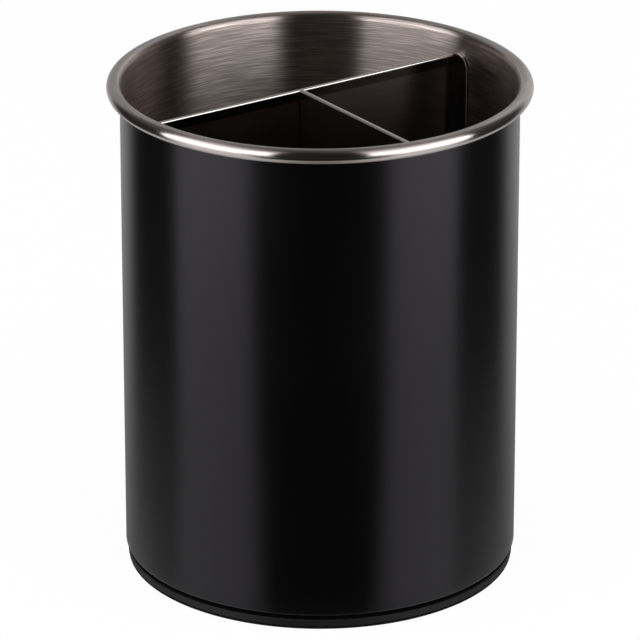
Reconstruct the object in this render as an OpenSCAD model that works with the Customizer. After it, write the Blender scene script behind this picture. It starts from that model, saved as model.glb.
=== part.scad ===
// Rotating cutlery holder: a rolled-rim steel can on a ball-bearing turntable, with a lift-out
// divider of two bent sheets. Millimetres, +Z up, origin on the table under the can's axis.

/* [Can] */
// Outer diameter of the can wall
can_d = 140; // [130:1:180]
// Height from the table to the top of the rolled rim
total_h = 180; // [140:1:240]
// Thickness of the can's sheet
can_t = 0.6; // [0.4:0.05:0.9]
// Outer radius of the rolled rim
rim_r = 2.6; // [2:0.1:4]
// Angle through which the rim is rolled
rim_roll = 305; // [270:1:310]
// Outer radius of the turned-in toe
toe_r = 1.2; // [1:0.1:2]
// Width of the lip turned in under the can
toe_lip = 4; // [2:0.1:6]

/* [Can floor] */
// Thickness of the floor sheet
floor_t = 0.8; // [0.5:0.05:1.2]
// Height of the skirt that is welded to the wall
floor_skirt = 8; // [4:0.5:9]
// Outer radius of the bend between floor and skirt
floor_bend = 2; // [1.5:0.1:3]
// Clear height between the pivot bolt's end and the floor
nut_room = 0.65; // [0.3:0.05:4]
// Step from the carrier's edge in to the ballast's edge
ballast_edge = 1.5; // [0.5:0.1:6]
// Bevel on the ballast's edges
ballast_bevel = 0.6; // [0.2:0.1:1.2]

/* [Base] */
// Step from the can wall in to the base's edge
base_inset = 0.8; // [0.3:0.1:3]
// Height of the base's edge band
base_h = 2.5; // [2.3:0.1:4]
// Thickness of the base's web inside the edge band
base_web = 1.6; // [1.2:0.1:2]
// Gap between the base and the turning can
spin_gap = 1.7; // [1:0.1:3]
// Easing of the base's edges
base_ease = 0.25; // [0.1:0.05:0.6]
// Number of ribs under the base
rib_count = 12; // [6:1:18]
// Thickness of the ribs
rib_t = 1.4; // [1:0.1:2.4]
// Height of the non-slip ring under the base
foot_h = 1; // [0.8:0.1:2]
// Width of the non-slip ring
foot_w = 7; // [5:0.5:10]
// Step from the base's edge in to the ring's edge
foot_inset = 0.2; // [0:0.1:1]
// Easing of the ring's edges
foot_ease = 0.2; // [0.1:0.05:0.3]
// Height of the shadow gap between the ring and the base's edge
reveal_h = 0.35; // [0.2:0.05:0.4]
// Depth of that gap
reveal_d = 0.9; // [0.3:0.1:1.2]
// Width of the tongue pressed into the base
tongue_w = 3; // [2:0.1:4]
// Height of that tongue
tongue_h = 1.2; // [0.6:0.1:1.4]

/* [Bearing] */
// Diameter of the ball track
track_d = 90; // [84:1:100]
// Diameter of the balls
ball_d = 4.76; // [4.2:0.01:5.5]
// Number of balls
ball_count = 24; // [8:1:36]
// Width of a race inside the track
race_in = 10; // [9:0.1:12]
// Width of a race outside the track
race_out = 5; // [4:0.1:7]
// Height of a race
race_h = 2; // [1.5:0.1:2.3]
// Metal left under the groove
race_web = 0.8; // [0.5:0.05:1.2]
// Depth of the seat of a race in its plate
race_seat = 0.5; // [0.2:0.05:0.8]
// Width of the ball cage
cage_w = 8; // [7:0.1:9]
// Gap between the cage and each race
cage_gap = 0.28; // [0.15:0.01:0.5]
// Gap between ball and groove, and between ball and cage
ball_gap = 0.1; // [0.05:0.01:0.2]

/* [Carrier] */
// Thickness of the carrier plate
carrier_t = 3; // [2.5:0.1:5]
// Gap around the carrier as it passes the toe lip
carrier_pass = 0.6; // [0.3:0.1:2]
// Width of the stiffening rim under the carrier
carrier_rim_w = 2; // [1.5:0.1:3]
// Depth of that rim and of the ribs
carrier_rim_h = 1.4; // [0.8:0.1:1.8]

/* [Pivot] */
// Diameter of the pivot bolt
bolt_d = 6; // [5:0.1:7]
// Width across flats of the bolt head and the nut
bolt_flats = 10; // [9:0.1:11]
// Height of the bolt head
head_h = 2.2; // [1.6:0.1:2.6]
// Depth of the head inside the base
head_sink = 0.4; // [0.2:0.1:0.8]
// Thickness of the base hub over the head
hub_wall = 2.8; // [2:0.1:3.2]
// Diameter of the hubs on base and carrier
hub_d = 18; // [16.5:0.5:22]
// Outer diameter of the bush
bush_d = 10; // [9:0.1:12]
// Diameter of the bush flange
bush_flange_d = 15; // [13:0.5:16]
// Thickness of the bush flange
bush_flange_t = 1; // [0.7:0.1:1.3]
// Stand of the bush above the carrier
bush_stand = 0.2; // [0.1:0.05:0.6]
// Outer diameter of the washer
washer_d = 14; // [12:0.5:18]
// Thickness of the washer
washer_t = 1; // [0.6:0.1:1.6]
// Height of the nut
nut_h = 3.2; // [2.5:0.1:5]
// Bevel at the bolt's end
bolt_ease = 0.5; // [0.2:0.1:0.8]
// Bolt length past the nut
bolt_tail = 0.8; // [0.3:0.1:2]
// Radial clearance of the bush on the bolt
pivot_clear = 0.05; // [0.02:0.01:0.1]
// Axial play of the bush
end_play = 0.15; // [0.05:0.01:0.3]

/* [Screws] */
// Diameter of the carrier screws
screw_d = 4; // [3:0.1:5]
// Bevel at their tips
screw_ease = 0.3; // [0.2:0.1:0.6]
// Diameter of their heads
screw_head_d = 8; // [7:0.1:9]
// Height of their heads
screw_head_h = 2.4; // [1.6:0.1:3]
// Number of carrier screws
screw_count = 4; // [3:1:6]
// Room between a screw head and the upper race
screw_room = 4; // [1:0.1:5]
// Gap between a screw's tip and the floor
tip_gap = 0.5; // [0.3:0.05:1]
// Width across flats of the weld nuts
weld_flats = 8; // [7.5:0.1:9]
// Height of the weld nuts
weld_h = 3.2; // [2.4:0.1:4]
// Room around a weld nut in the ballast
weld_room = 0.8; // [0.4:0.1:1.5]
// Diameter of the race screws
race_screw_d = 2.5; // [2:0.1:3]
// Bevel at their tips
race_point = 0.5; // [0.3:0.1:0.8]
// Diameter of their sunk heads
race_head_d = 4.6; // [4:0.1:5]
// Number of screws in a race
race_screws = 4; // [3:1:8]
// Material left past the tip of a race screw
tip_wall = 0.3; // [0.2:0.05:0.6]
// Thickness of the boss around a race screw
boss_t = 1.6; // [1:0.1:2]

/* [Divider] */
// Thickness of the divider sheets
div_t = 0.6; // [0.5:0.05:1.2]
// Step from the rim's top down to the divider's top
div_drop = 8; // [4:0.5:30]
// Offset of the long plate from the can's axis
plate_off = 13; // [0:0.5:25]
// Width of the flanges
flange_w = 5.5; // [4:0.5:12]
// Flat left beside a flange's bend before its rounded corner
corner_land = 0.4; // [0.3:0.1:2]
// Inside radius of the bends
bend_r = 0.9; // [0.8:0.1:2.5]
// Gap between the flanges and the can wall
wall_gap = 0.4; // [0.3:0.05:1]
// Gap inside the folded top edge
hem_gap = 0.3; // [0.2:0.05:1]
// Straight leg of the folded edge
hem_leg = 3.2; // [2:0.1:8]
// Step from a flange's bend to the end of the folded edge
hem_stop = 0.3; // [0.2:0.1:4]
// Width of the relief cuts beside the folds
relief = 0.5; // [0.3:0.05:1]

/* [Fits] */
// Radial clearance of pressed and screwed fits
fit = 0.05; // [0.03:0.01:0.1]
// Room of through holes around a screw or bolt
hole_room = 0.2; // [0.1:0.05:0.4]

/* [Hidden] */
$fn = 128;
// How far a cut or a lapped piece runs past the face it meets
past = 1;
can_ro = can_d / 2;
can_ri = can_ro - can_t;
lip_ri = can_ri - toe_lip;
rim_z = total_h - rim_r;
base_ro = can_ro - base_inset;
base_top = foot_h + base_h;
web_bot = base_top - base_web;
can_bot = base_top + spin_gap;
foot_ro = base_ro - foot_inset;
foot_ri = foot_ro - foot_w;
tongue_ri = foot_ro - foot_w / 2 - tongue_w / 2;
tongue_ro = tongue_ri + tongue_w;
edge_ri = foot_ri - foot_inset;
// Bearing, seated in the base and mirrored about the balls
track_r = track_d / 2;
ball_r = ball_d / 2;
groove_r = ball_r + ball_gap;
race_ri = track_r - race_in;
race_ro = track_r + race_out;
race_bot = base_top - race_seat;
ball_z = race_bot + race_web + groove_r;
race_top = 2 * ball_z - race_bot;
cage_t = 2 * (ball_z - race_bot - race_h - cage_gap);
race_screw_r = (race_ri + track_r - cage_w / 2) / 2;
// Carrier and pivot stack
carrier_bot = race_top - race_seat;
carrier_top = carrier_bot + carrier_t;
carrier_r = lip_ri - carrier_pass;
head_z = foot_h + head_sink;
hub_top = head_z + head_h + hub_wall;
flange_bot = hub_top + end_play;
bush_bot = flange_bot + bush_flange_t;
bush_top = carrier_top + bush_stand;
washer_bot = bush_top + end_play;
nut_bot = washer_bot + washer_t;
bolt_end = nut_bot + nut_h + bolt_tail;
floor_bot = bolt_end + nut_room;
floor_top = floor_bot + floor_t;
floor_ro = can_ri - fit;
screw_r = race_ri - screw_room - screw_head_d / 2;
well_r = max(washer_d, 2 * bolt_flats / sqrt(3)) / 2 + weld_room;
// Divider sheets
bend_steps = 10;
div_top = total_h - div_drop;
flange_ro = can_ri - wall_gap;
flange_ri = flange_ro - div_t;
flange_rm = (flange_ri + flange_ro) / 2;
flange_a = flange_w / flange_rm * 180 / PI;
corner_r = flange_w - corner_land;
corner_a = corner_r / flange_rm * 180 / PI;
hem_ro = div_t + hem_gap / 2;
fold_z = div_top - hem_ro;
notch_z = fold_z - hem_leg - relief;
long_y = plate_off - div_t / 2;
long_bend = [sqrt(pow(flange_ri - bend_r, 2) - pow(long_y - bend_r, 2)), long_y - bend_r];
long_a = atan2(long_bend[1], long_bend[0]);
hem_x = long_bend[0] - hem_stop;
cross_x = div_t / 2 + bend_r;
back_bend = [cross_x, long_y - div_t - bend_r];
front_bend = [cross_x, -sqrt(pow(flange_ri - bend_r, 2) - pow(cross_x, 2))];
front_a = atan2(front_bend[1], front_bend[0]);
hem_front = front_bend[1] + hem_stop;
hem_back = long_y + div_t - 2 * hem_ro - fit;

steel = "#b9b9b6";
zinc = "#a9adb0";
black = "#232325";
acetal = "#e6e4dc";

// Flat wedge from the origin between two angles less than 180 degrees apart
module wedge(r, a0, a1) {
    mid = (a0 + a1) / 2;
    polygon([[0, 0], r * [cos(a0), sin(a0)], r * [cos(mid), sin(mid)], r * [cos(a1), sin(a1)]]);
}

module ring(r0, r1) {
    difference() {
        circle(r1);
        circle(r0);
    }
}

// Bent sheet seen edge on: the part of a ring between two angles
module bend(r0, r1, a0, a1) {
    intersection() {
        ring(r0, r1);
        wedge(2 * r1, a0, a1);
    }
}

// Points along an arc; an arc that carries on from another starts at its second point
function arc(c, r, a0, a1, first = 0) = [for (i = [first : bend_steps])
    let (a = a0 + (a1 - a0) * i / bend_steps) c + r * [cos(a), sin(a)]];

module around(count, r, turn = 0) {
    for (i = [0 : count - 1])
        rotate(turn + i * 360 / count)
            translate([r, 0, 0])
                children();
}

module tube(r0, r1, z0, z1) {
    translate([0, 0, z0])
        linear_extrude(z1 - z0)
            ring(r0, r1);
}

// Hexagon across its flats
module hex_bar(flats, z0, z1) {
    translate([0, 0, z0])
        cylinder(d = flats * 2 / sqrt(3), h = z1 - z0, $fn = 6);
}

// Wall in one sheet: turned-in toe, straight wall, rim rolled outwards
module can_wall() {
    color(black)
        rotate_extrude() {
            translate([lip_ri, can_bot])
                square([can_ro - toe_r - lip_ri, can_t]);
            translate([can_ro - toe_r, can_bot + toe_r])
                bend(toe_r - can_t, toe_r, 270, 360);
            translate([can_ri, can_bot + toe_r])
                square([can_t, rim_z - can_bot - toe_r]);
            translate([can_ri + rim_r, rim_z])
                difference() {
                    ring(rim_r - can_t, rim_r);
                    wedge(2 * rim_r, 180, 540 - rim_roll);
                }
        }
}

// Pressed floor with a skirt down the wall
module can_floor() {
    color(steel)
        rotate_extrude() {
            translate([0, floor_bot])
                square([floor_ro - floor_bend, floor_t]);
            translate([floor_ro - floor_bend, floor_top - floor_bend])
                bend(floor_bend - floor_t, floor_bend, 0, 90);
            translate([floor_ro - floor_t, floor_top - floor_skirt])
                square([floor_t, floor_skirt - floor_bend]);
        }
}

module weld_nuts() {
    color(zinc)
        around(screw_count, screw_r, 45)
            difference() {
                hex_bar(weld_flats, floor_bot - weld_h, floor_bot);
                translate([0, 0, floor_bot - weld_h - past])
                    cylinder(r = screw_d / 2 + fit, h = weld_h + 2 * past);
            }
}

// Steel weight clamped between carrier and floor, with wells for the nuts
module ballast_disc() {
    r = carrier_r - ballast_edge;
    b = ballast_bevel;
    color("#4c4e50")
        difference() {
            rotate_extrude()
                polygon([[well_r, carrier_top], [r - b, carrier_top], [r, carrier_top + b],
                    [r, floor_bot - b], [r - b, floor_bot], [well_r, floor_bot]]);
            around(screw_count, screw_r, 45)
                translate([0, 0, carrier_top - past])
                    cylinder(r = weld_flats / sqrt(3) + weld_room, h = floor_bot - carrier_top + 2 * past);
        }
}

// Turning plate: seat for the upper race below, hub for the bush, ballast on top
module carrier_plate() {
    color(black)
        difference() {
            union() {
                translate([0, 0, carrier_bot])
                    cylinder(r = carrier_r, h = carrier_t);
                tube(carrier_r - carrier_rim_w, carrier_r, carrier_bot - carrier_rim_h, carrier_top);
                translate([0, 0, bush_bot])
                    cylinder(d = hub_d, h = carrier_top - bush_bot);
                around(screw_count, hub_d / 2 - past)
                    translate([0, -rib_t / 2, carrier_bot - carrier_rim_h])
                        cube([race_ri - hub_d / 2 - past, rib_t, carrier_rim_h + past]);
            }
            tube(race_ri - fit, race_ro + fit, carrier_bot - carrier_rim_h - past, carrier_bot + race_seat);
            translate([0, 0, bush_bot - past])
                cylinder(r = bush_d / 2 + fit, h = carrier_top - bush_bot + 2 * past);
            around(screw_count, screw_r, 45)
                translate([0, 0, carrier_bot - past])
                    cylinder(r = screw_d / 2 + hole_room, h = carrier_t + 2 * past);
            around(race_screws, race_screw_r, 45)
                translate([0, 0, carrier_bot])
                    cylinder(r = race_screw_d / 2 + fit, h = carrier_t - tip_wall + fit);
        }
}

// Pan-head screws from below into the weld nuts
module carrier_screws() {
    ease = screw_head_h / 3;
    head_bot = carrier_bot - screw_head_h;
    color(zinc)
        around(screw_count, screw_r, 45)
            rotate_extrude()
                polygon([[0, head_bot], [screw_head_d / 2 - ease, head_bot],
                    [screw_head_d / 2, head_bot + ease], [screw_head_d / 2, carrier_bot],
                    [screw_d / 2, carrier_bot],
                    [screw_d / 2, floor_bot - tip_gap - screw_ease],
                    [screw_d / 2 - screw_ease, floor_bot - tip_gap], [0, floor_bot - tip_gap]]);
}

// Grooved ring on its seat at z = 0, groove upwards, with sunk screw holes
module race() {
    sink = (race_head_d - race_screw_d) / 2;
    difference() {
        rotate_extrude()
            difference() {
                translate([race_ri, 0])
                    square([race_ro - race_ri, race_h]);
                translate([track_r, race_web + groove_r])
                    circle(groove_r);
            }
        around(race_screws, race_screw_r, 45)
            rotate_extrude()
                polygon([[0, -past], [race_screw_d / 2 + fit, -past],
                    [race_screw_d / 2 + fit, race_h - sink], [race_head_d / 2 + fit, race_h],
                    [race_head_d / 2 + fit, race_h + past], [0, race_h + past]]);
    }
}

// Sunk-head screws of one race, tips at the given depth under its seat
module race_screw_set(depth) {
    sink = (race_head_d - race_screw_d) / 2;
    around(race_screws, race_screw_r, 45)
        rotate_extrude()
            polygon([[0, -depth], [race_screw_d / 2 - race_point, -depth],
                [race_screw_d / 2, race_point - depth], [race_screw_d / 2, race_h - sink],
                [race_head_d / 2, race_h], [0, race_h]]);
}

module upper_race() {
    color(zinc)
        translate([0, 0, race_top])
            mirror([0, 0, 1])
                race();
}

module upper_race_screws() {
    color(steel)
        translate([0, 0, race_top])
            mirror([0, 0, 1])
                race_screw_set(carrier_top - race_top - tip_wall);
}

module ball_cage() {
    color(acetal)
        difference() {
            tube(track_r - cage_w / 2, track_r + cage_w / 2, ball_z - cage_t / 2, ball_z + cage_t / 2);
            around(ball_count, track_r)
                translate([0, 0, ball_z - cage_t])
                    cylinder(r = groove_r, h = 2 * cage_t);
        }
}

module bearing_balls() {
    color(steel)
        around(ball_count, track_r)
            translate([0, 0, ball_z])
                sphere(ball_r);
}

module lower_race() {
    color(zinc)
        translate([0, 0, race_bot])
            race();
}

module lower_race_screws() {
    color(steel)
        translate([0, 0, race_bot])
            race_screw_set(race_bot - foot_h - tip_wall);
}

// Standing plate: edge band over the foot ring, thin ribbed web, hub for the bolt
module base_plate() {
    e = base_ease;
    color(black)
        difference() {
            union() {
                rotate_extrude()
                    polygon([[0, web_bot], [edge_ri, web_bot], [edge_ri, foot_h], [base_ro - e, foot_h],
                        [base_ro, foot_h + e], [base_ro, base_top - e], [base_ro - e, base_top],
                        [0, base_top]]);
                translate([0, 0, foot_h])
                    cylinder(d = hub_d, h = hub_top - foot_h);
                around(rib_count, hub_d / 2 - past)
                    translate([0, -rib_t / 2, foot_h])
                        cube([edge_ri - hub_d / 2 + 2 * past, rib_t, web_bot - foot_h + base_web / 2]);
                around(race_screws, race_screw_r, 45)
                    translate([0, 0, foot_h])
                        cylinder(r = race_screw_d / 2 + boss_t, h = web_bot - foot_h + base_web / 2);
            }
            tube(race_ri - fit, race_ro + fit, race_bot, base_top + past);
            tube(tongue_ri - fit, tongue_ro + fit, foot_h - past, foot_h + tongue_h + fit);
            hex_bar(bolt_flats + 2 * fit, foot_h - past, head_z + head_h);
            translate([0, 0, foot_h])
                cylinder(r = bolt_d / 2 + fit, h = hub_top);
            around(race_screws, race_screw_r, 45)
                translate([0, 0, foot_h + tip_wall - fit])
                    cylinder(r = race_screw_d / 2 + fit, h = base_top);
        }
}

// Soft ring with a tongue pressed up into the base and a step that leaves a shadow gap
module foot_ring() {
    e = foot_ease;
    top = foot_h - reveal_h;
    color("#1a1a1b")
        rotate_extrude()
            polygon([[foot_ri, 0], [foot_ro - e, 0], [foot_ro, e], [foot_ro, top - e], [foot_ro - e, top],
                [foot_ro - reveal_d, top], [foot_ro - reveal_d, foot_h], [tongue_ro, foot_h],
                [tongue_ro, foot_h + tongue_h], [tongue_ri, foot_h + tongue_h], [tongue_ri, foot_h],
                [foot_ri, foot_h]]);
}

// Hex head held in the base, plain shank as the can's axle
module pivot_bolt() {
    color(zinc) {
        hex_bar(bolt_flats, head_z, head_z + head_h);
        rotate_extrude()
            polygon([[0, head_z + head_h / 2], [bolt_d / 2, head_z + head_h / 2],
                [bolt_d / 2, bolt_end - bolt_ease], [bolt_d / 2 - bolt_ease, bolt_end], [0, bolt_end]]);
    }
}

module pivot_bush() {
    bore = bolt_d / 2 + pivot_clear;
    color(acetal)
        rotate_extrude()
            polygon([[bore, flange_bot], [bush_flange_d / 2, flange_bot], [bush_flange_d / 2, bush_bot],
                [bush_d / 2, bush_bot], [bush_d / 2, bush_top], [bore, bush_top]]);
}

module pivot_washer() {
    color(zinc)
        tube(bolt_d / 2 + hole_room / 2, washer_d / 2, washer_bot, nut_bot);
}

module pivot_nut() {
    color(zinc)
        difference() {
            hex_bar(bolt_flats, nut_bot, nut_bot + nut_h);
            translate([0, 0, nut_bot - past])
                cylinder(r = bolt_d / 2 + fit, h = nut_h + 2 * past);
        }
}

// Folded top edge seen end on: outer face of the sheet at x = 0, fold centre at y = 0
module hem() {
    translate([hem_ro, 0])
        difference() {
            ring(hem_ro - div_t, hem_ro);
            translate([-2 * hem_ro, -2 * hem_ro])
                square([4 * hem_ro, 2 * hem_ro]);
        }
    translate([2 * hem_ro - div_t, -hem_leg])
        square([div_t, hem_leg]);
}

// Waste off a flange's corner: sheet across X, free end towards +Y, corner up
module corner_waste() {
    side = div_t + past;
    difference() {
        translate([-side, 0, 0])
            cube([2 * side, corner_r + past, corner_r + past]);
        rotate([0, 90, 0])
            cylinder(r = corner_r, h = 3 * side, center = true);
    }
}

// The same waste at the top and the bottom of a flange
module corner_pair(top) {
    translate([0, 0, top - corner_r])
        corner_waste();
    translate([0, 0, floor_top + corner_r])
        mirror([0, 0, 1])
            corner_waste();
}

// Long plate edge on: straight sheet, both ends bent forwards along the wall
module long_outline() {
    end = concat(arc(long_bend, bend_r + div_t, 90, long_a),
        arc([0, 0], flange_ro, long_a, long_a - flange_a, 1),
        arc([0, 0], flange_ri, long_a - flange_a, long_a),
        arc(long_bend, bend_r, long_a, 90, 1));
    polygon(concat(end, [for (i = [len(end) - 1 : -1 : 0]) [-end[i][0], end[i][1]]]));
}

module divider_long_plate() {
    color(steel) {
        difference() {
            translate([0, 0, floor_top])
                linear_extrude(div_top - floor_top)
                    long_outline();
            translate([-hem_x - relief, long_y - past, fold_z])
                cube([2 * (hem_x + relief), div_t + 2 * past, hem_ro + past]);
            for (m = [0, 1])
                mirror([m, 0, 0])
                    rotate(long_a - flange_a + corner_a)
                        translate([flange_rm, 0, 0])
                            mirror([0, 1, 0])
                                corner_pair(div_top);
        }
        translate([hem_x, long_y + div_t, fold_z])
            rotate([90, 0, -90])
                linear_extrude(2 * hem_x)
                    hem();
    }
}

// Cross plate edge on: welding flange behind, wall flange in front, both to +X
module cross_outline() {
    polygon(concat([[cross_x + flange_w, long_y]],
        arc(back_bend, bend_r + div_t, 90, 180),
        arc(front_bend, bend_r + div_t, 180, 360 + front_a),
        arc([0, 0], flange_ro, front_a, front_a + flange_a, 1),
        arc([0, 0], flange_ri, front_a + flange_a, front_a),
        arc(front_bend, bend_r, 360 + front_a, 180, 1),
        arc(back_bend, bend_r, 180, 90),
        [[cross_x + flange_w, long_y - div_t]]));
}

module divider_cross_plate() {
    color(steel) {
        difference() {
            translate([0, 0, floor_top])
                linear_extrude(div_top - floor_top)
                    cross_outline();
            translate([-div_t, back_bend[1], notch_z])
                cube([flange_w + cross_x + 2 * div_t, 4 * bend_r + 4 * div_t, div_top]);
            translate([-div_t, hem_front - relief, fold_z])
                cube([2 * div_t, hem_back - hem_front + 2 * past, hem_ro + past]);
            translate([cross_x + flange_w - corner_r, long_y - div_t / 2, 0])
                rotate(-90)
                    corner_pair(notch_z);
            rotate(front_a + flange_a - corner_a)
                translate([flange_rm, 0, 0])
                    corner_pair(div_top);
        }
        translate([-div_t / 2, back_bend[1] - past, notch_z + relief])
            cube([div_t, hem_back - back_bend[1] + past, hem_leg]);
        translate([-div_t / 2, hem_back, fold_z])
            rotate([90, 0, 0])
                linear_extrude(hem_back - hem_front)
                    hem();
    }
}

can_wall();
can_floor();
weld_nuts();
ballast_disc();
carrier_plate();
carrier_screws();
upper_race();
upper_race_screws();
ball_cage();
bearing_balls();
lower_race();
lower_race_screws();
base_plate();
foot_ring();
pivot_bolt();
pivot_bush();
pivot_washer();
pivot_nut();
divider_long_plate();
divider_cross_plate();
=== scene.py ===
"""Looks of a rotating cutlery holder: a black-coated steel can with a rolled bright rim and a loose
sheet divider, turning on a low ball-bearing base. Metres, +Z up, origin on the table under the axis."""

from math import cos, hypot, pi, radians, sin

import bmesh
import bpy
import numpy as np
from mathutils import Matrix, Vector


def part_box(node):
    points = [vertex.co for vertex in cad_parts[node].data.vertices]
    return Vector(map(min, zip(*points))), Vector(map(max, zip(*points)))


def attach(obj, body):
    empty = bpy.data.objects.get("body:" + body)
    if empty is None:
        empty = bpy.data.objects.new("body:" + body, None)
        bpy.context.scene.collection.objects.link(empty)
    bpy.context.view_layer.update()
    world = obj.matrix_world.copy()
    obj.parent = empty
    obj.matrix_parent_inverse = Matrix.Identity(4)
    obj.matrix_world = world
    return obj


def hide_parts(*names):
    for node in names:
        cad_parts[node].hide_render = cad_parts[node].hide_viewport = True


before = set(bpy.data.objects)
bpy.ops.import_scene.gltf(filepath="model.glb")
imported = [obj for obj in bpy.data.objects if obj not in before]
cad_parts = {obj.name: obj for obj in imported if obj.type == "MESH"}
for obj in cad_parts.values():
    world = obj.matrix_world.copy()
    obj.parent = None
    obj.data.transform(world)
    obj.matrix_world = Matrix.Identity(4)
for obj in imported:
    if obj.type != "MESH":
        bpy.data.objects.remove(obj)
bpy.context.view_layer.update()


# Base plate and carrier plate.
# Injection-moulded black plastic with a fine spark-eroded grain; the base stands on its foot ring with its
# edge band in view, and the carrier is screwed up inside the can, out of sight.
def new_finish(name):
    """A material with its node tree and its shader."""
    material = bpy.data.materials.new(name)
    material.use_nodes = True
    return material, material.node_tree, material.node_tree.nodes["Principled BSDF"]


def add_node(tree, kind, inputs=None, **settings):
    """A node of that kind with its settings, its inputs set by name or linked where a socket is given."""
    made = tree.nodes.new(kind)
    for key, value in settings.items():
        setattr(made, key, value)
    for key, value in (inputs or {}).items():
        if isinstance(value, bpy.types.NodeSocket):
            tree.links.new(value, made.inputs[key])
        else:
            made.inputs[key].default_value = value
    return made


def grain(tree, cells, stretch=(1, 1, 1), detail=3.0):
    """Noise over Object coordinates, with so many cells a metre, drawn out along the axes with a low
    stretch."""
    place = add_node(tree, "ShaderNodeTexCoord")
    mapped = add_node(tree, "ShaderNodeMapping", {"Vector": place.outputs["Object"], "Scale": stretch})
    made = add_node(tree, "ShaderNodeTexNoise",
                    {"Vector": mapped.outputs["Vector"], "Scale": cells, "Detail": detail})
    return made.outputs["Fac"]


def spread(tree, value, low, high, span=(0.3, 0.7)):
    """The value brought from its span to between low and high."""
    made = add_node(tree, "ShaderNodeMapRange", {"Value": value, "From Min": span[0], "From Max": span[1],
                                                 "To Min": low, "To Max": high})
    return made.outputs["Result"]


def tint(tree, value, low, high, span=(0.3, 0.7)):
    """A colour between low and high, by the value over its span."""
    made = add_node(tree, "ShaderNodeMix", data_type="RGBA")
    tree.links.new(spread(tree, value, 0.0, 1.0, span), made.inputs["Factor"])
    made.inputs["A"].default_value = (*low, 1.0)
    made.inputs["B"].default_value = (*high, 1.0)
    return made.outputs["Result"]


def raise_grain(tree, shader, height, depth):
    """A bump of that depth in metres on the shader."""
    made = add_node(tree, "ShaderNodeBump", {"Height": height, "Strength": 1.0, "Distance": depth})
    tree.links.new(made.outputs["Normal"], shader.inputs["Normal"])


def grained_plastic(name, dark, light, rough=(0.46, 0.58)):
    """Moulded plastic: slow flow marks in the colour, and an eroded grain of about 0.4 mm in gloss and
    height."""
    material, tree, shader = new_finish(name)
    grain_depth = 0.00003
    flow = grain(tree, cells=35.0)
    eroded = grain(tree, cells=2600.0, detail=2.0)
    tree.links.new(tint(tree, flow, dark, light), shader.inputs["Base Color"])
    tree.links.new(spread(tree, eroded, *rough), shader.inputs["Roughness"])
    shader.inputs["Specular IOR Level"].default_value = 0.30
    raise_grain(tree, shader, eroded, grain_depth)
    return material


def dress(node, material):
    """The CAD node keeps its mesh and takes this material."""
    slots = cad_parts[node].data.materials
    slots.clear()
    slots.append(material)


black_plastic = grained_plastic("black_plastic", (0.003, 0.003, 0.0031), (0.005, 0.005, 0.0051))
dress("base_plate", black_plastic)
dress("carrier_plate", black_plastic)


# Foot ring.
# A soft black rubber ring with a tongue pressed up into the base, so that the holder neither slides nor
# marks the table.
def soft_rubber(name, dark, light):
    """Rubber: a dull skin with a slow bloom in the colour and dust-fine pores in gloss and height."""
    material, tree, shader = new_finish(name)
    pore_depth = 0.00002
    bloom = grain(tree, cells=90.0)
    pores = grain(tree, cells=4200.0, detail=1.0)
    tree.links.new(tint(tree, bloom, dark, light), shader.inputs["Base Color"])
    tree.links.new(spread(tree, pores, 0.68, 0.85), shader.inputs["Roughness"])
    shader.inputs["Specular IOR Level"].default_value = 0.12
    raise_grain(tree, shader, pores, pore_depth)
    return material


dress("foot_ring", soft_rubber("foot_rubber", (0.0025, 0.0025, 0.0025), (0.0045, 0.0045, 0.0046)))


# Bearing, pivot and fasteners.
# Pressed and turned steel with bright zinc, polished balls in an acetal cage, and a phosphated weight:
# a stock thrust bearing held by a bolt, a bush and a thin nut.
def plated_steel(name, colour, rough):
    """Zinc plate or polish: a slightly cloudy mirror with fine turning marks that lie across Z."""
    material, tree, shader = new_finish(name)
    mark_depth = 0.000004
    cloud = grain(tree, cells=220.0)
    marks = grain(tree, cells=900.0, stretch=(1, 1, 6))
    paler = tuple(min(1.0, c * 1.12) for c in colour)
    tree.links.new(tint(tree, cloud, colour, paler), shader.inputs["Base Color"])
    tree.links.new(spread(tree, marks, rough * 0.8, rough * 1.3), shader.inputs["Roughness"])
    shader.inputs["Metallic"].default_value = 1.0
    raise_grain(tree, shader, marks, mark_depth)
    return material


zinc = plated_steel("bright_zinc", (0.60, 0.62, 0.64), 0.30)
for plated in ("weld_nuts", "carrier_screws", "upper_race", "upper_race_screws", "lower_race",
               "lower_race_screws", "pivot_bolt", "pivot_washer", "pivot_nut"):
    dress(plated, zinc)
dress("bearing_balls", plated_steel("ball_steel", (0.66, 0.66, 0.67), 0.08))
acetal = grained_plastic("acetal", (0.76, 0.75, 0.70), (0.82, 0.81, 0.77), rough=(0.34, 0.42))
dress("ball_cage", acetal)
dress("pivot_bush", acetal)


def phosphated_steel(name, dark, light):
    """Phosphate coat: dull grey crystals about a millimetre across, paler and rougher to their rims."""
    material, tree, shader = new_finish(name)
    crystal_span = (0.0, 0.6)
    place = add_node(tree, "ShaderNodeTexCoord")
    crystal = add_node(tree, "ShaderNodeTexVoronoi", {"Vector": place.outputs["Object"], "Scale": 900.0})
    shade = crystal.outputs["Distance"]
    tree.links.new(tint(tree, shade, dark, light, crystal_span), shader.inputs["Base Color"])
    tree.links.new(spread(tree, shade, 0.5, 0.7, crystal_span), shader.inputs["Roughness"])
    shader.inputs["Metallic"].default_value = 0.6
    return material


dress("ballast_disc", phosphated_steel("phosphated_steel", (0.06, 0.06, 0.063), (0.12, 0.12, 0.125)))


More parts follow.
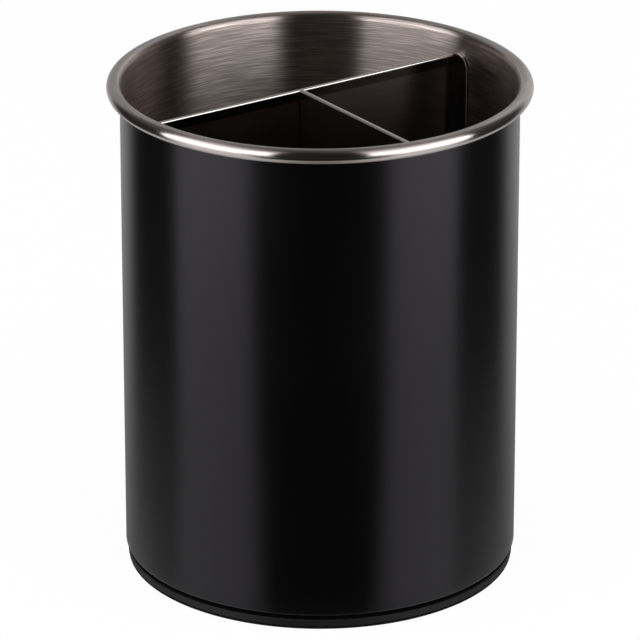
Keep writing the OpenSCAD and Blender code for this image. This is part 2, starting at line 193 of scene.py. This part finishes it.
# Can floor.
# A disc of stainless sheet with its edge turned down and welded to the wall; the cutlery's ends stand on
# it, so it is brushed and lightly scuffed.
def grid_faces(rows, columns, wrap=False):
    """Quads of a grid numbered row by row, each to the next point along its row and its column; a
    wrapped grid also joins its last row to its first and its last column to its first."""
    number = np.arange(rows * columns).reshape(rows, columns)
    if wrap:
        number = np.pad(number, ((0, 1), (0, 1)), mode="wrap")
    quads = np.stack([number[:-1, :-1], number[1:, :-1], number[1:, 1:], number[:-1, 1:]], axis=-1)
    return quads.reshape(-1, 4).tolist()


def plain_mesh(name, points, faces, finishes):
    """Object at the origin from points and faces."""
    mesh = bpy.data.meshes.new(name)
    mesh.from_pydata(points.reshape(-1, 3).tolist(), [], faces)
    for material in finishes:
        mesh.materials.append(material)
    made = bpy.data.objects.new(name, mesh)
    bpy.context.scene.collection.objects.link(made)
    return made


def make_piece(name, points, faces, finishes, face_finish=None, crease=32):
    """Piece from points and faces, joined where points meet, smooth below the crease angle."""
    piece = plain_mesh(name, points, faces, finishes)
    mesh = piece.data
    if face_finish is not None:
        mesh.polygons.foreach_set("material_index", face_finish)
    work = bmesh.new()
    work.from_mesh(mesh)
    bmesh.ops.remove_doubles(work, verts=work.verts, dist=1e-7)
    bmesh.ops.recalc_face_normals(work, faces=work.faces)
    work.to_mesh(mesh)
    work.free()
    mesh.shade_smooth()
    mesh.set_sharp_from_angle(angle=radians(crease))
    return piece


def arc(centre, radius, start, end, steps):
    """Points round a centre from one angle to another, in degrees."""
    angle = np.radians(np.linspace(start, end, steps + 1))
    return np.stack([centre[0] + radius * np.cos(angle), centre[1] + radius * np.sin(angle)], axis=1)


def left_of(path):
    """Unit normals to the left of a flat path, from the mean direction of the steps at each point."""
    step = np.diff(path, axis=0)
    step /= np.linalg.norm(step, axis=1, keepdims=True)
    along = np.vstack([step[:1], step[:-1] + step[1:], step[-1:]])
    along /= np.linalg.norm(along, axis=1, keepdims=True)
    return np.stack([-along[:, 1], along[:, 0]], axis=1)


def sheet_outline(path, thickness, edge_steps=6):
    """Closed outline of a sheet seen edge on: its middle line moved half a thickness to the left and to the
    right, with the right side walked back, and a half round over each cut edge. Also how many points are
    on the left side."""
    left = path + left_of(path) * thickness / 2
    right = path - left_of(path) * thickness / 2
    turn = np.radians(np.linspace(0, 180, edge_steps + 1)[1:-1])[:, None]

    def cap(end, rim, ahead):
        """Half round from the rim over the end of the middle line."""
        return end + (rim - end) * np.cos(turn) + ahead * np.sin(turn) * thickness / 2

    out = (path[-1] - path[-2]) / np.linalg.norm(path[-1] - path[-2])
    back = (path[0] - path[1]) / np.linalg.norm(path[0] - path[1])
    outline = np.vstack([left, cap(path[-1], left[-1], out), right[::-1], cap(path[0], right[0], back)])
    return outline, len(left)


def lathe(outline, turns=288):
    """Surface of revolution: each point (r, z) of the closed outline is carried round the Z axis."""
    angle = np.linspace(0, 2 * pi, turns, endpoint=False)[:, None]
    r, z = outline[:, 0], outline[:, 1]
    points = np.stack([r * np.cos(angle), r * np.sin(angle), np.broadcast_to(z, (turns, len(z)))], axis=-1)
    return points, grid_faces(turns, len(outline), wrap=True)


def brushed_steel(name, colour, rough, streak, depth, lift=1.3, turned=False):
    """Brushed stainless: fine scratches, long along the axes with a low streak value, over faint broad
    clouding; the colour rises by lift on the strongest of them. Turned steel is brushed round the Z
    axis, and its gloss spreads across the scratches."""
    material, tree, shader = new_finish(name)
    cloud_share = 0.25
    cloud = grain(tree, cells=24.0)
    scratch = grain(tree, cells=1.0, stretch=streak, detail=1.5)
    mixed = add_node(tree, "ShaderNodeMath", {0: cloud, 1: cloud_share, 2: scratch}, operation="MULTIPLY_ADD")
    paler = tuple(min(1.0, c * lift) for c in colour)
    streaked = tint(tree, mixed.outputs["Value"], colour, paler, span=(0.60, 0.80))
    tree.links.new(streaked, shader.inputs["Base Color"])
    tree.links.new(spread(tree, scratch, rough * 0.97, rough * 1.04), shader.inputs["Roughness"])
    shader.inputs["Metallic"].default_value = 1.0
    if turned:
        shader.inputs["Anisotropic"].default_value = 1.0
        shader.inputs["Anisotropic Rotation"].default_value = 0.25
        around = add_node(tree, "ShaderNodeTangent", direction_type="RADIAL", axis="Z")
        tree.links.new(around.outputs["Tangent"], shader.inputs["Tangent"])
    raise_grain(tree, shader, scratch, depth)
    return material


stainless_floor = brushed_steel("floor_steel", (0.60, 0.57, 0.53), 0.30, (900, 12, 12), 0.000004)
floor_low, floor_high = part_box("can_floor")
floor_t = 0.0008
floor_bend = 0.002 - floor_t / 2
floor_bend_steps = 8
floor_mid = floor_high[2] - floor_t / 2
skirt_mid = floor_high[0] - floor_t / 2
floor_path = np.vstack([
    np.array([[0.0, floor_mid], [floor_high[0] / 2, floor_mid]]),
    arc((skirt_mid - floor_bend, floor_mid - floor_bend), floor_bend, 90, 0, floor_bend_steps),
    np.array([[skirt_mid, floor_low[2]]]),
])
floor_outline, _ = sheet_outline(floor_path, floor_t, edge_steps=4)
floor_outline[:, 0] = np.maximum(floor_outline[:, 0], 0.0)
can_floor = make_piece("can_floor_disc", *lathe(floor_outline), [stainless_floor])
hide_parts("can_floor")
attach(can_floor, "can")


# Can wall.
# One rolled and welded stainless sheet: bare and brushed round the inside, satin black powder coat outside,
# the foot turned in over the base and the top edge rolled outwards into a polished bead.
def satin_coat(name, dark, light):
    """Powder coat: near black, with a fine orange peel in height and slow changes of colour and gloss."""
    material, tree, shader = new_finish(name)
    peel_depth = 0.000012
    slow = grain(tree, cells=18.0)
    peel = grain(tree, cells=900.0, detail=2.0)
    tree.links.new(tint(tree, slow, dark, light), shader.inputs["Base Color"])
    tree.links.new(spread(tree, slow, 0.22, 0.25), shader.inputs["Roughness"])
    shader.inputs["Specular Tint"].default_value = (1.0, 0.93, 1.02, 1.0)
    raise_grain(tree, shader, peel, peel_depth)
    return material


wall_low, wall_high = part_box("can_wall")
wall_t = 0.0006
wall_rows = 40
bead_r = 0.0026
bead_end = -125
bead_steps = 48
toe_r = 0.0012
toe_lip = 0.004
toe_steps = 8
wall_inside = wall_high[0] - 2 * bead_r
wall_mid = wall_inside + wall_t / 2
toe_mid = wall_inside + wall_t - toe_r
toe_z = wall_low[2] + toe_r
bead_z = wall_high[2] - bead_r
wall_rise = np.linspace(toe_z, bead_z, wall_rows)[1:-1]
bead_path = arc((wall_inside + bead_r, bead_z), bead_r - wall_t / 2, 180, bead_end, bead_steps)
wall_path = np.vstack([
    np.array([[wall_inside - toe_lip, wall_low[2] + wall_t / 2]]),
    arc((toe_mid, toe_z), toe_r - wall_t / 2, -90, 0, toe_steps),
    np.stack([np.full_like(wall_rise, wall_mid), wall_rise], axis=1),
    bead_path,
])
wall_outline, bare_points = sheet_outline(wall_path, wall_t)
wall_points, wall_faces = lathe(wall_outline)

# Along the outline the bare inside comes first, then the bead's polished crest, its duller foot from just
# below its widest place to the cut edge, whose pale colour paints a highlight line along the rim's lower
# edge, and then the coat.
polish_step, foot_step = 7, 31
bead_first = len(wall_path) - len(bead_path)
skin_starts = [bead_first + polish_step, bead_first + foot_step, bare_points]
skin = np.searchsorted(skin_starts, np.arange(len(wall_outline)), side="right")
inside_streak, bead_streak = (75, 75, 3100), (45, 45, 1400)
inside_depth, bead_depth = 0.00008, 0.0000003
wall_skins = [
    brushed_steel("bare_steel", (0.46, 0.393, 0.371), 0.29, inside_streak, inside_depth, lift=1.75,
                  turned=True),
    brushed_steel("polished_steel", (0.58, 0.52, 0.50), 0.20, bead_streak, bead_depth, turned=True),
    # The bead's foot is rougher steel, and its pale colour paints a highlight line along the rim's lower
    # edge.
    brushed_steel("bead_foot_highlight", (0.95, 0.86, 0.82), 0.46, bead_streak, bead_depth),
    satin_coat("satin_coat", (0.0003, 0.0003, 0.0003), (0.0006, 0.0006, 0.0006)),
]
can_wall = make_piece("can_wall_sheet", wall_points, wall_faces, wall_skins, np.tile(skin, len(wall_points)))
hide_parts("can_wall")
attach(can_wall, "can")


# Divider.
# Two plates of thin stainless stand loose in the can: a long one across it and one from its middle to the
# front wall. Each has a folded top edge and end flanges that lie along the wall, and the cross plate's
# rear flange is spot-welded to the long plate.
def calculate(tree, operation, first, second=0.0):
    """The result of one operation on values or sockets."""
    return add_node(tree, "ShaderNodeMath", {0: first, 1: second}, operation=operation).outputs["Value"]


def between(tree, value, low, high):
    """1 where the value lies between low and high, else 0."""
    above = calculate(tree, "GREATER_THAN", value, low)
    below = calculate(tree, "LESS_THAN", value, high)
    return calculate(tree, "MULTIPLY", above, below)


def part_finish(tree, share, socket, value):
    """The shader's socket takes this value where share is 1, and keeps what it had where share is 0."""
    made = add_node(tree, "ShaderNodeMix", data_type="RGBA" if socket.type == "RGBA" else "FLOAT")
    factor, kept, other = [end for end in made.inputs if end.enabled]
    result = next(end for end in made.outputs if end.enabled)
    tree.links.new(share, factor)
    tree.links.new(socket.links[0].from_socket, kept)
    other.default_value = value
    tree.links.new(result, socket)


def object_place(tree):
    """The X, Y and Z of Object coordinates, and the Normal in the same axes."""
    place = add_node(tree, "ShaderNodeTexCoord").outputs
    return add_node(tree, "ShaderNodeSeparateXYZ", {0: place["Object"]}).outputs, place["Normal"]


def divider_steel(name, bend_highlight_colour, bend_rough):
    """Brushed sheet, with a painted highlight: a paler colour on the bend along its top, and duller steel on
    its sheared edges. A sheared edge is a face on a flange that stands across the can's wall, or one that
    looks up from below the fold."""
    material = brushed_steel(name, (0.34, 0.308, 0.295), 0.18, (14, 14, 1300), 0.0000005, lift=1.1)
    tree = material.node_tree
    shader = tree.nodes["Principled BSDF"]
    where, normal = object_place(tree)
    flat = add_node(tree, "ShaderNodeCombineXYZ", {0: where["X"], 1: where["Y"]}).outputs["Vector"]
    away = add_node(tree, "ShaderNodeVectorMath", {0: flat}, operation="LENGTH").outputs["Value"]
    outward = add_node(tree, "ShaderNodeVectorMath", {0: flat}, operation="NORMALIZE").outputs["Vector"]
    turn = add_node(tree, "ShaderNodeVectorMath", {0: outward, 1: normal}, operation="DOT_PRODUCT")
    across = calculate(tree, "LESS_THAN", calculate(tree, "ABSOLUTE", turn.outputs["Value"]), 0.5)
    flange_edge = calculate(tree, "MULTIPLY", across, calculate(tree, "GREATER_THAN", away, flange_inside))
    upward = add_node(tree, "ShaderNodeSeparateXYZ", {0: normal}).outputs["Z"]
    below = calculate(tree, "LESS_THAN", where["Z"], fold_foot)
    notch_edge = calculate(tree, "MULTIPLY", calculate(tree, "GREATER_THAN", upward, 0.5), below)
    cut = calculate(tree, "MAXIMUM", flange_edge, notch_edge)
    part_finish(tree, cut, shader.inputs["Roughness"], 0.62)
    # The bend along the top takes a paler colour, which is a painted highlight, and its own gloss.
    bend = calculate(tree, "GREATER_THAN", where["Z"], bend_foot)
    part_finish(tree, bend, shader.inputs["Base Color"], bend_highlight_colour)
    part_finish(tree, bend, shader.inputs["Roughness"], bend_rough)
    return material


_, long_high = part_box("divider_long_plate")
flange_depth = 0.0013
fold_height = 0.004
fold_width = 0.0015
bend_height = 0.0008
leg_t = 0.0007
leg_slack = 0.00002
flange_inside = wall_inside - flange_depth
fold_foot = long_high[2] - fold_height
fold_front = long_high[1] - fold_width
bend_foot = long_high[2] - bend_height
# The two plates are the same steel; their bends differ in the brightness of the painted highlight and in
# gloss.
long_steel = divider_steel("long_plate_steel", (0.72, 0.67, 0.645, 1.0), 0.2)
cross_steel = divider_steel("cross_plate_steel", (0.95, 0.89, 0.86, 1.0), 0.3)

# The long plate's fold has a smooth leg down its front; the leg's dark colour is painted shade under the
# bend.
tree = long_steel.node_tree
shader = tree.nodes["Principled BSDF"]
where, _ = object_place(tree)
leg = calculate(tree, "MULTIPLY", between(tree, where["Y"], fold_front - leg_slack, fold_front + leg_t),
                between(tree, where["Z"], fold_foot, bend_foot))
# Painted shade: the leg's colour is darkened as if shaded by the bend.
part_finish(tree, leg, shader.inputs["Base Color"], (0.14, 0.13, 0.125, 1.0))
part_finish(tree, leg, shader.inputs["Roughness"], 0.08)
dress("divider_long_plate", long_steel)
dress("divider_cross_plate", cross_steel)


# Table, light and camera.
# A white table in a white room. The steel and the coat mirror a painted studio cloth that hangs round the
# holder: dark in front, a light panel to each side, dim beside and behind. Two soft lamps give plain light.
def seen_directly(tree):
    """1 on camera, glossy and transmission rays, else 0."""
    path = add_node(tree, "ShaderNodeLightPath").outputs
    first = calculate(tree, "MAXIMUM", path["Is Camera Ray"], path["Is Glossy Ray"])
    return calculate(tree, "MAXIMUM", first, path["Is Transmission Ray"])


camera_azimuth = -34.7
table_half = 4.0
table_z = -0.0001
table_glow = 0.97
table_finish, tree, shader = new_finish("white_table")
table_colour = tint(tree, grain(tree, cells=30.0), (0.84, 0.84, 0.84), (0.88, 0.88, 0.88))
tree.links.new(table_colour, shader.inputs["Base Color"])
shader.inputs["Roughness"].default_value = 0.9
shader.inputs["Specular IOR Level"].default_value = 0.1
glow = add_node(tree, "ShaderNodeEmission", {"Color": (1, 1, 1, 1), "Strength": 1.0})
share = calculate(tree, "MULTIPLY", seen_directly(tree), table_glow)
blend = add_node(tree, "ShaderNodeMixShader",
                 {0: share, 1: shader.outputs["BSDF"], 2: glow.outputs["Emission"]})
tree.links.new(blend.outputs["Shader"], tree.nodes["Material Output"].inputs["Surface"])
corner = np.array([-table_half, table_half])
table_points = np.stack([*np.meshgrid(corner, corner), np.full((2, 2), table_z)], axis=-1)
table = plain_mesh("table", table_points, grid_faces(2, 2), [table_finish])

# One ring of the cloth on each line, from the can's foot along the floor, up the walls and over: its reach
# and height in metres, half the width of the dark front and the softness of its edges in degrees, and
# then its tones in front, on the panels, beside them and behind.
rings = np.array([
    [0.000, 0.0005, 18.0, 5.0, 0.12, 0.50, 0.36, 0.28],
    [0.012, 0.0005, 18.0, 5.0, 0.06, 0.55, 0.34, 0.28],
    [0.030, 0.0005, 18.2, 4.0, 0.03, 0.60, 0.30, 0.29],
    [0.080, 0.0005, 18.6, 3.0, 0.02, 0.60, 0.23, 0.31],
    [0.250, 0.0005, 19.6, 1.5, 0.02, 0.65, 0.07, 0.41],
    [0.500, 0.0005, 20.4, 1.0, 0.02, 1.05, 0.02, 0.62],
    [1.300, 0.0005, 20.4, 1.0, 0.02, 1.20, 0.02, 0.44],
    [1.300, 0.1200, 13.2, 1.0, 0.02, 3.00, 0.02, 0.36],
    [1.300, 0.5000, 13.2, 1.0, 0.02, 3.00, 0.04, 0.34],
    [1.300, 1.3000, 13.2, 1.0, 0.02, 1.20, 0.10, 0.28],
    [0.600, 1.7000, 13.2, 1.0, 0.03, 0.08, 0.10, 0.14],
    [0.000, 1.7000, 13.2, 1.0, 0.07, 0.07, 0.07, 0.07],
])
reach, height, front_edges, softness = rings[:, :4].T
panel_end, side_end, back_start, behind = 45, 66, 73, 90

# The wall turned by an angle from the front mirrors what lies at twice that angle, so each strip of the
# cloth leaves the can at the one angle and runs out along the other. To the right the panel ends a
# little nearer the front, drawn in by a degree in eight from draw_from on, up to draw_most.
strips = 91
draw_from, draw_most = 24, 2.5
facing = np.linspace(-behind, behind, strips)
turned = np.abs(facing)
turned += np.where(facing > 0, np.clip((turned - draw_from) / 8, 0, draw_most), 0)
tone = np.stack([
    np.interp(turned, [0, edge - soft, edge + soft, panel_end - soft, panel_end + soft, side_end, back_start,
                       behind], np.repeat(tones, 2))
    for edge, soft, tones in zip(front_edges, softness, rings[:, 4:])], axis=1)

# The walls are paler behind on the right, up to pale_rear, and less so towards the middle.
pale_rear, rear_lift = 80, 0.6
right_rear = np.interp(facing, [side_end, back_start, pale_rear, behind], [0, 1, 1, 0])[:, None]
tone *= 1 + rear_lift * right_rear * (height > height[0])
front = radians(camera_azimuth - 90)
wall_angle = front + np.radians(facing)[:, None]
seen_angle = front + 2 * np.radians(facing)[:, None]
start = np.where(height < height[-1], wall_mid, 0.0)
cloth_points = np.stack([
    start * np.cos(wall_angle) + reach * np.cos(seen_angle),
    start * np.sin(wall_angle) + reach * np.sin(seen_angle),
    np.broadcast_to(height, tone.shape)], axis=-1)
closed = np.append(np.arange(len(tone)), 0)
cloth_points = cloth_points[closed]
tone = tone[closed]
cloth_finish, tree, _ = new_finish("studio_cloth")
level = add_node(tree, "ShaderNodeAttribute", attribute_name="tone")
paint = add_node(tree, "ShaderNodeEmission", {"Color": (1, 1, 1, 1), "Strength": level.outputs["Fac"]})
tree.links.new(paint.outputs["Emission"], tree.nodes["Material Output"].inputs["Surface"])
cloth = plain_mesh("studio_cloth", cloth_points, grid_faces(*tone.shape), [cloth_finish])
cloth.data.attributes.new("tone", "FLOAT", "POINT").data.foreach_set("value", tone.ravel())
for rays in ("camera", "diffuse", "shadow", "transmission", "volume_scatter"):
    setattr(cloth, "visible_" + rays, False)

room_fill = 0.55
world = bpy.data.worlds.new("white_studio")
bpy.context.scene.world = world
world.use_nodes = True
tree = world.node_tree
room = tree.nodes["Background"]
room.inputs["Color"].default_value = (1, 1, 1, 1)
room_light = spread(tree, seen_directly(tree), room_fill, 1.0, span=(0, 1))
tree.links.new(room_light, room.inputs["Strength"])


def put(azimuth, distance, height):
    """A place round the object, the azimuth in degrees from the camera's side, to the right."""
    angle = radians(camera_azimuth + azimuth)
    return (distance * sin(angle), -distance * cos(angle), height)


def soft_lamp(name, place, size, power, aim_height=0.09):
    """A wide soft lamp that faces the object's axis at the aim height."""
    lamp = bpy.data.lights.new(name, "AREA")
    lamp.shape = "RECTANGLE"
    lamp.size, lamp.size_y = size
    lamp.energy = power
    rig = bpy.data.objects.new(name, lamp)
    rig.location = place
    rig.visible_glossy = False
    away = hypot(place[0], place[1])
    rig.rotation_euler = (np.arctan2(away, place[2] - aim_height), 0, np.arctan2(place[0], -place[1]))
    bpy.context.scene.collection.objects.link(rig)


lamp_turn, lamp_distance, lamp_height = 55, 1.05, 0.7
lamp_size = (1.42, 1.1)
lamp_power = 9.5
soft_lamp("lamp_left", put(-lamp_turn, lamp_distance, lamp_height), lamp_size, lamp_power)
soft_lamp("lamp_right", put(lamp_turn, lamp_distance, lamp_height), lamp_size, lamp_power)

lens_px = 5166.4
frame_px = 640
camera_distance, camera_height, camera_pitch = 1.70065, 0.78290, 0.38760
camera_data = bpy.data.cameras.new("camera")
camera_data.sensor_width = 36.0
camera_data.lens = lens_px / frame_px * camera_data.sensor_width
camera_data.clip_end = 50
camera = bpy.data.objects.new("camera", camera_data)
camera.location = put(0, camera_distance, camera_height)
camera.rotation_euler = (pi / 2 - camera_pitch, 0, radians(camera_azimuth))
bpy.context.scene.collection.objects.link(camera)
bpy.context.scene.camera = camera
bpy.context.scene.view_settings.view_transform = "Standard"
